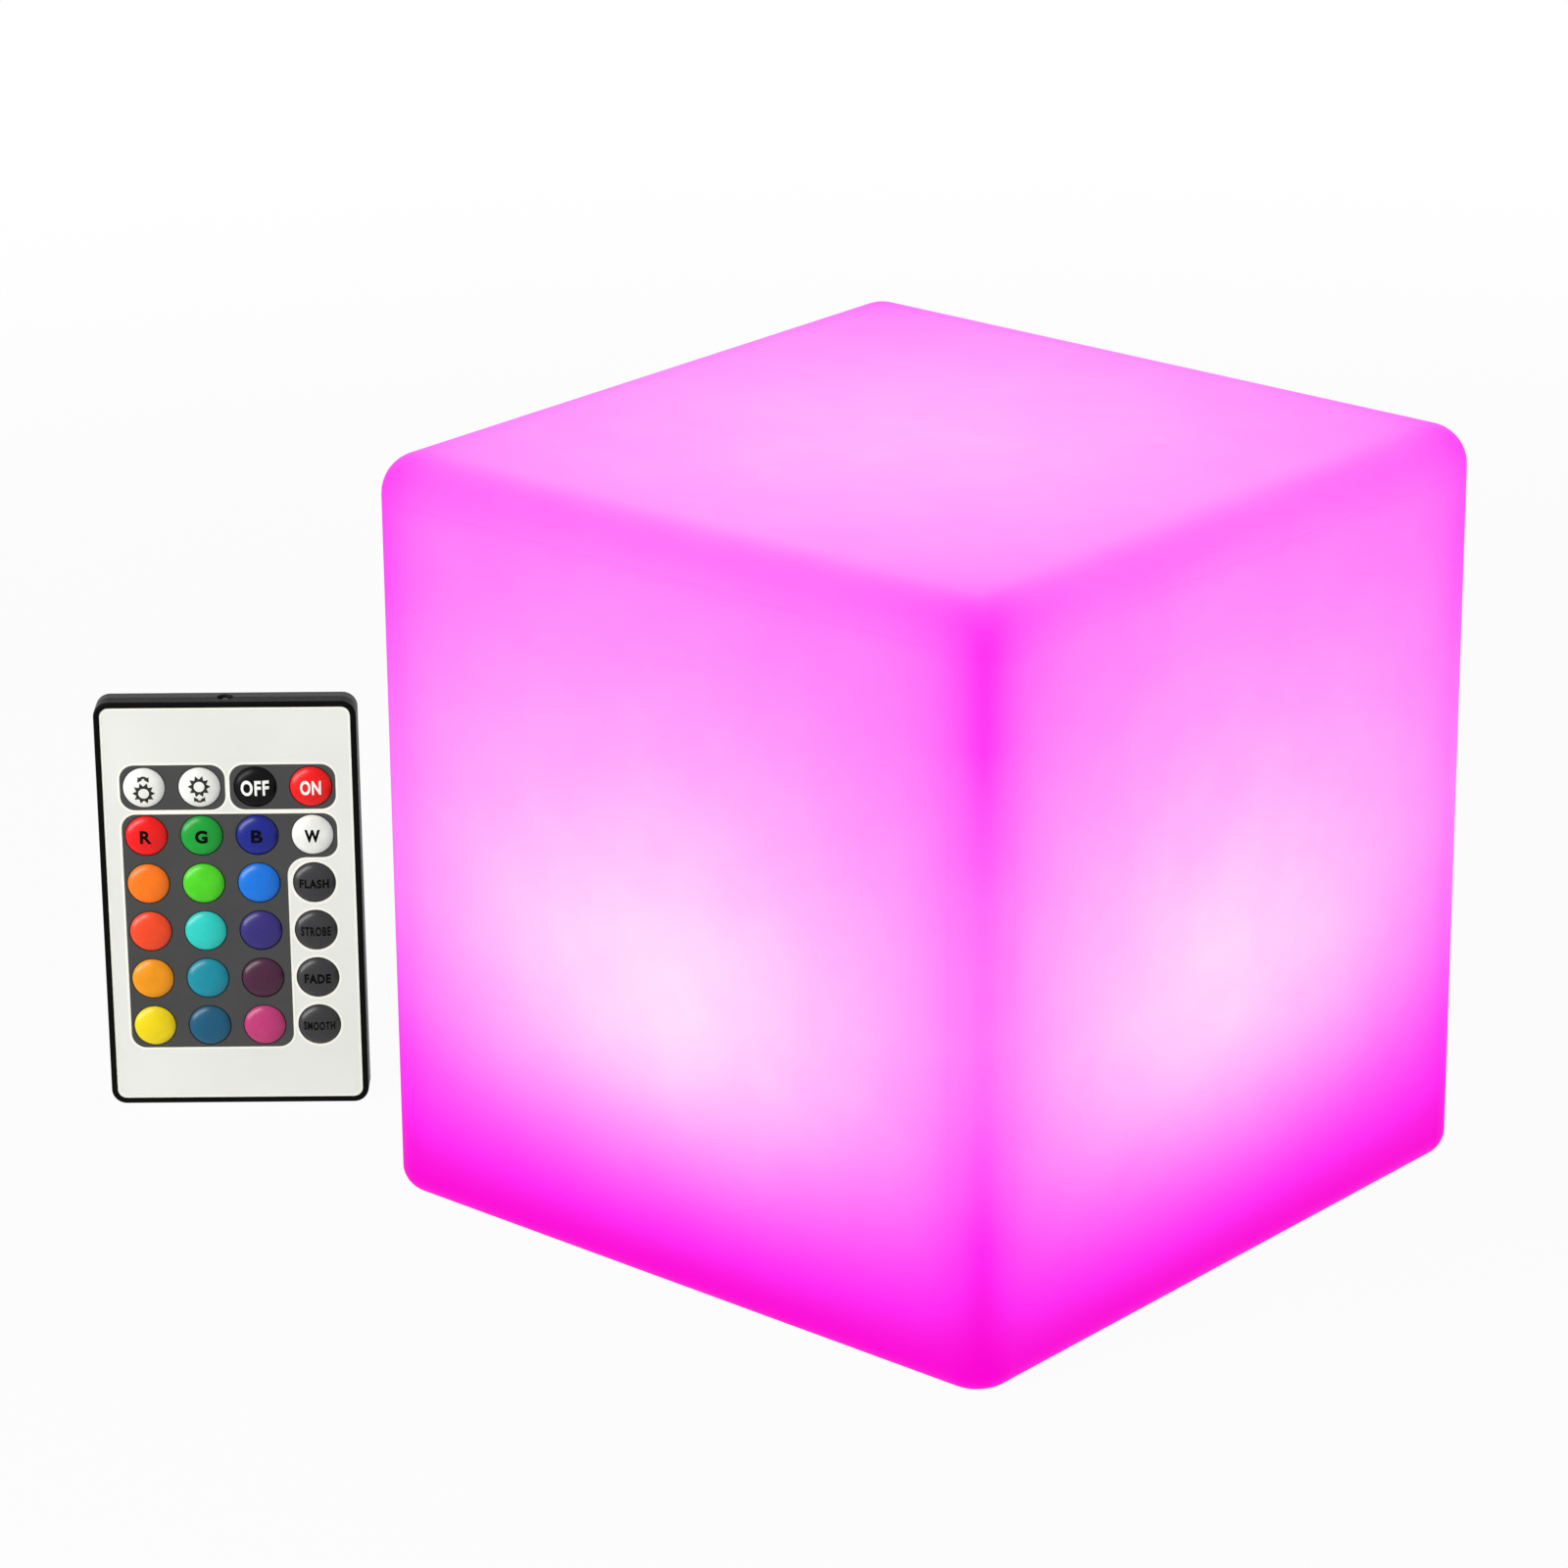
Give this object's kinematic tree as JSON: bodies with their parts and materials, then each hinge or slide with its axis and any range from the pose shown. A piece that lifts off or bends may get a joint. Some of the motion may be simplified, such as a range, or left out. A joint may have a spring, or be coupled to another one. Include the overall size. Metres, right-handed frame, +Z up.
{
  "type": "led cube light",
  "caption": "Translucent rounded cube light, lit from a sealed module in its underside, with a flat key remote standing beside it.",
  "frame": {"origin": "centre of the cube underside, on the surface that the cube and the remote stand on", "axes": "+Z up; the cube sides lie along X and Y; -Y is the side at the left of the picture, +X the side at its right; the remote stands to -X and -Y"},
  "size_m": [0.2257, 0.1559, 0.15],
  "materials": {
    "lit_polyethylene": "satin, translucent, lit magenta from inside",
    "white_abs": "fine matte moulding",
    "grey_silicone": "matte",
    "zinc_steel": "zinc plated",
    "white_board": "satin white solder mask on aluminium",
    "led_package": "gloss",
    "black_epoxy": "gloss",
    "clear_polycarbonate": "clear",
    "green_fibreglass": "satin solder mask",
    "black_nylon": "matte",
    "white_nylon": "matte",
    "white_rubber": "matte",
    "laminated_pouch": "satin",
    "black_foam": "matte",
    "wire_insulation": "satin",
    "black_abs": "satin",
    "printed_film": "satin",
    "dark_silicone": "matte",
    "carbon_ink": "matte",
    "spring_steel": "nickel plated",
    "cell_steel": "nickel plated",
    "infrared_epoxy": "gloss",
    "key_soft_white": "gloss coated silicone key",
    "key_black": "gloss coated silicone key",
    "key_red_gloss": "gloss coated silicone key",
    "key_green_gloss": "gloss coated silicone key",
    "key_blue_gloss": "gloss coated silicone key",
    "key_orange_gloss": "gloss coated silicone key",
    "key_lime_gloss": "gloss coated silicone key",
    "key_azure_gloss": "gloss coated silicone key",
    "key_grey_gloss": "gloss coated silicone key",
    "key_vermilion_gloss": "gloss coated silicone key",
    "key_turquoise_gloss": "gloss coated silicone key",
    "key_indigo_gloss": "gloss coated silicone key",
    "key_amber_gloss": "gloss coated silicone key",
    "key_teal_gloss": "gloss coated silicone key",
    "key_plum_gloss": "gloss coated silicone key",
    "key_yellow_gloss": "gloss coated silicone key",
    "key_petrol_gloss": "gloss coated silicone key",
    "key_pink_gloss": "gloss coated silicone key"
  },
  "bodies": {
    "light": {"base_cover": "white_abs", "base_gasket": "grey_silicone", "base_screws": "zinc_steel", "battery_cell": "laminated_pouch", "battery_connector": "white_nylon", "battery_leads": "wire_insulation", "battery_pads": "black_foam", "button_seal": "grey_silicone", "charge_light_pipe": "clear_polycarbonate", "charging_socket": "black_nylon", "control_board": "green_fibreglass", "control_parts": "black_epoxy", "cube_shell": "lit_polyethylene", "diffuser_dome": "clear_polycarbonate", "dome_seal": "grey_silicone", "housing_seal": "grey_silicone", "ir_receiver": "black_epoxy", "led_board": "white_board", "led_leads": "wire_insulation", "module_housing": "white_abs", "module_screws": "zinc_steel", "power_switch": "black_nylon", "rgb_leds": "led_package"},
    "power_button": {"power_button": "white_abs"},
    "port_plug": {"port_plug": "white_rubber"},
    "remote": {"remote_front_case": "black_abs", "remote_back_case": "black_abs", "remote_face_film": "printed_film", "keypad_mat": "dark_silicone", "key_contacts": "carbon_ink", "remote_board": "green_fibreglass", "remote_chip": "black_epoxy", "ir_emitter": "infrared_epoxy", "battery_contacts": "spring_steel"},
    "battery_drawer": {"battery_drawer": "black_abs", "coin_cell": "cell_steel"},
    "key_brighter": {"key_brighter": "key_soft_white"},
    "key_dimmer": {"key_dimmer": "key_soft_white"},
    "key_off": {"key_off": "key_black"},
    "key_on": {"key_on": "key_red_gloss"},
    "key_red": {"key_red": "key_red_gloss"},
    "key_green": {"key_green": "key_green_gloss"},
    "key_blue": {"key_blue": "key_blue_gloss"},
    "key_white": {"key_white": "key_soft_white"},
    "key_orange": {"key_orange": "key_orange_gloss"},
    "key_lime": {"key_lime": "key_lime_gloss"},
    "key_azure": {"key_azure": "key_azure_gloss"},
    "key_flash": {"key_flash": "key_grey_gloss"},
    "key_vermilion": {"key_vermilion": "key_vermilion_gloss"},
    "key_turquoise": {"key_turquoise": "key_turquoise_gloss"},
    "key_indigo": {"key_indigo": "key_indigo_gloss"},
    "key_strobe": {"key_strobe": "key_grey_gloss"},
    "key_amber": {"key_amber": "key_amber_gloss"},
    "key_teal": {"key_teal": "key_teal_gloss"},
    "key_plum": {"key_plum": "key_plum_gloss"},
    "key_fade": {"key_fade": "key_grey_gloss"},
    "key_yellow": {"key_yellow": "key_yellow_gloss"},
    "key_petrol": {"key_petrol": "key_petrol_gloss"},
    "key_pink": {"key_pink": "key_pink_gloss"},
    "key_smooth": {"key_smooth": "key_grey_gloss"}
  },
  "joints": [
    {"name": "remote_lift", "type": "slide", "parent": "light", "child": "remote", "axis": [0, 0, 1], "range_m": [0, 0.12]},
    {"name": "power_button_press", "type": "slide", "parent": "light", "child": "power_button", "axis": [0, 0, 1], "range_m": [0, 0.0005], "stiffness_N_per_m": 3000, "springref_m": -0.0005},
    {"name": "port_plug_pull", "type": "slide", "parent": "light", "child": "port_plug", "axis": [0, 0, -1], "range_m": [0, 0.009]},
    {"name": "battery_drawer_slide", "type": "slide", "parent": "remote", "child": "battery_drawer", "axis": [0, 0, -1], "range_m": [0, 0.026]},
    {"name": "brighter_press", "type": "slide", "parent": "remote", "child": "key_brighter", "axis": [-0.6561, 0.7547, 0], "range_m": [0, 0.0005], "stiffness_N_per_m": 1500, "springref_m": -0.0005},
    {"name": "dimmer_press", "type": "slide", "parent": "remote", "child": "key_dimmer", "axis": [-0.6561, 0.7547, 0], "range_m": [0, 0.0005], "stiffness_N_per_m": 1500, "springref_m": -0.0005},
    {"name": "off_press", "type": "slide", "parent": "remote", "child": "key_off", "axis": [-0.6561, 0.7547, 0], "range_m": [0, 0.0005], "stiffness_N_per_m": 1500, "springref_m": -0.0005},
    {"name": "on_press", "type": "slide", "parent": "remote", "child": "key_on", "axis": [-0.6561, 0.7547, 0], "range_m": [0, 0.0005], "stiffness_N_per_m": 1500, "springref_m": -0.0005},
    {"name": "red_press", "type": "slide", "parent": "remote", "child": "key_red", "axis": [-0.6561, 0.7547, 0], "range_m": [0, 0.0005], "stiffness_N_per_m": 1500, "springref_m": -0.0005},
    {"name": "green_press", "type": "slide", "parent": "remote", "child": "key_green", "axis": [-0.6561, 0.7547, 0], "range_m": [0, 0.0005], "stiffness_N_per_m": 1500, "springref_m": -0.0005},
    {"name": "blue_press", "type": "slide", "parent": "remote", "child": "key_blue", "axis": [-0.6561, 0.7547, 0], "range_m": [0, 0.0005], "stiffness_N_per_m": 1500, "springref_m": -0.0005},
    {"name": "white_press", "type": "slide", "parent": "remote", "child": "key_white", "axis": [-0.6561, 0.7547, 0], "range_m": [0, 0.0005], "stiffness_N_per_m": 1500, "springref_m": -0.0005},
    {"name": "orange_press", "type": "slide", "parent": "remote", "child": "key_orange", "axis": [-0.6561, 0.7547, 0], "range_m": [0, 0.0005], "stiffness_N_per_m": 1500, "springref_m": -0.0005},
    {"name": "lime_press", "type": "slide", "parent": "remote", "child": "key_lime", "axis": [-0.6561, 0.7547, 0], "range_m": [0, 0.0005], "stiffness_N_per_m": 1500, "springref_m": -0.0005},
    {"name": "azure_press", "type": "slide", "parent": "remote", "child": "key_azure", "axis": [-0.6561, 0.7547, 0], "range_m": [0, 0.0005], "stiffness_N_per_m": 1500, "springref_m": -0.0005},
    {"name": "flash_press", "type": "slide", "parent": "remote", "child": "key_flash", "axis": [-0.6561, 0.7547, 0], "range_m": [0, 0.0005], "stiffness_N_per_m": 1500, "springref_m": -0.0005},
    {"name": "vermilion_press", "type": "slide", "parent": "remote", "child": "key_vermilion", "axis": [-0.6561, 0.7547, 0], "range_m": [0, 0.0005], "stiffness_N_per_m": 1500, "springref_m": -0.0005},
    {"name": "turquoise_press", "type": "slide", "parent": "remote", "child": "key_turquoise", "axis": [-0.6561, 0.7547, 0], "range_m": [0, 0.0005], "stiffness_N_per_m": 1500, "springref_m": -0.0005},
    {"name": "indigo_press", "type": "slide", "parent": "remote", "child": "key_indigo", "axis": [-0.6561, 0.7547, 0], "range_m": [0, 0.0005], "stiffness_N_per_m": 1500, "springref_m": -0.0005},
    {"name": "strobe_press", "type": "slide", "parent": "remote", "child": "key_strobe", "axis": [-0.6561, 0.7547, 0], "range_m": [0, 0.0005], "stiffness_N_per_m": 1500, "springref_m": -0.0005},
    {"name": "amber_press", "type": "slide", "parent": "remote", "child": "key_amber", "axis": [-0.6561, 0.7547, 0], "range_m": [0, 0.0005], "stiffness_N_per_m": 1500, "springref_m": -0.0005},
    {"name": "teal_press", "type": "slide", "parent": "remote", "child": "key_teal", "axis": [-0.6561, 0.7547, 0], "range_m": [0, 0.0005], "stiffness_N_per_m": 1500, "springref_m": -0.0005},
    {"name": "plum_press", "type": "slide", "parent": "remote", "child": "key_plum", "axis": [-0.6561, 0.7547, 0], "range_m": [0, 0.0005], "stiffness_N_per_m": 1500, "springref_m": -0.0005},
    {"name": "fade_press", "type": "slide", "parent": "remote", "child": "key_fade", "axis": [-0.6561, 0.7547, 0], "range_m": [0, 0.0005], "stiffness_N_per_m": 1500, "springref_m": -0.0005},
    {"name": "yellow_press", "type": "slide", "parent": "remote", "child": "key_yellow", "axis": [-0.6561, 0.7547, 0], "range_m": [0, 0.0005], "stiffness_N_per_m": 1500, "springref_m": -0.0005},
    {"name": "petrol_press", "type": "slide", "parent": "remote", "child": "key_petrol", "axis": [-0.6561, 0.7547, 0], "range_m": [0, 0.0005], "stiffness_N_per_m": 1500, "springref_m": -0.0005},
    {"name": "pink_press", "type": "slide", "parent": "remote", "child": "key_pink", "axis": [-0.6561, 0.7547, 0], "range_m": [0, 0.0005], "stiffness_N_per_m": 1500, "springref_m": -0.0005},
    {"name": "smooth_press", "type": "slide", "parent": "remote", "child": "key_smooth", "axis": [-0.6561, 0.7547, 0], "range_m": [0, 0.0005], "stiffness_N_per_m": 1500, "springref_m": -0.0005}
  ]
}
